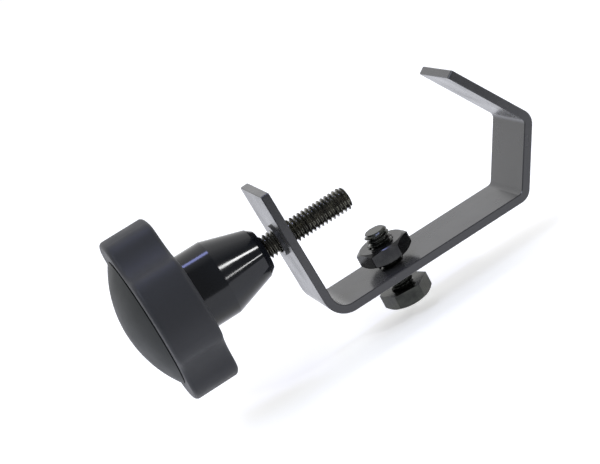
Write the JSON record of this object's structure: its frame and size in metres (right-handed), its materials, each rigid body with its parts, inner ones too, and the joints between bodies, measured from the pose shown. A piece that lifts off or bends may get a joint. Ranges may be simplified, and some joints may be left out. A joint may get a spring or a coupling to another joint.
{
  "type": "hook clamp with hand screw",
  "caption": "Bent flat steel hook that clamps on a round tube with a lobed hand screw and carries an accessory on a hex bolt and nut.",
  "frame": {"origin": "axis of a 48.3 mm tube seated in the hook, in the middle of the strip's width", "axes": "+X from the knob to the hook along the clamp screw, +Y along the tube, +Z from the base towards the open mouth"},
  "size_m": [0.1395, 0.0548, 0.0665],
  "materials": {
    "strip_paint": "satin black paint on flat steel",
    "knob_plastic": "matte charcoal moulded plastic with a polished hub",
    "cap_plastic": "matte charcoal moulded plastic",
    "screw_steel": "oiled black oxide steel",
    "bolt_steel": "black zinc plated steel",
    "nut_steel": "black zinc plated steel"
  },
  "bodies": {
    "hook": {"hook_strip": "strip_paint"},
    "screw_carriage": {"knob_cap": "cap_plastic"},
    "knob": {"knob_body": "knob_plastic", "clamp_screw": "screw_steel"},
    "nut": {"mounting_nut": "nut_steel"},
    "bolt": {"mounting_bolt": "bolt_steel"}
  },
  "joints": [
    {"name": "screw_travel", "type": "slide", "parent": "hook", "child": "screw_carriage", "axis": [1, 0, 0], "range_m": [-0.018, 0.003]},
    {"name": "knob_turn", "type": "hinge", "parent": "screw_carriage", "child": "knob", "pos_m": [-0.02621, 0, 0.0016], "axis": [1, 0, 0], "range_deg": [-4592, 765.3]},
    {"name": "nut_turn", "type": "hinge", "parent": "hook", "child": "nut", "pos_m": [-0.02361, 0, -0.0193], "axis": [0, 0, 1], "range_deg": [-1148, 1020.5]},
    {"name": "bolt_slide", "type": "slide", "parent": "hook", "child": "bolt", "axis": [0, 0, 1], "range_m": [-0.0045, 0.004]}
  ],
  "couplings": [
    {"joint": "screw_travel", "follows": "knob_turn", "m_per_rad": 0.00022458},
    {"joint": "bolt_slide", "follows": "nut_turn", "m_per_rad": 0.00022458}
  ]
}
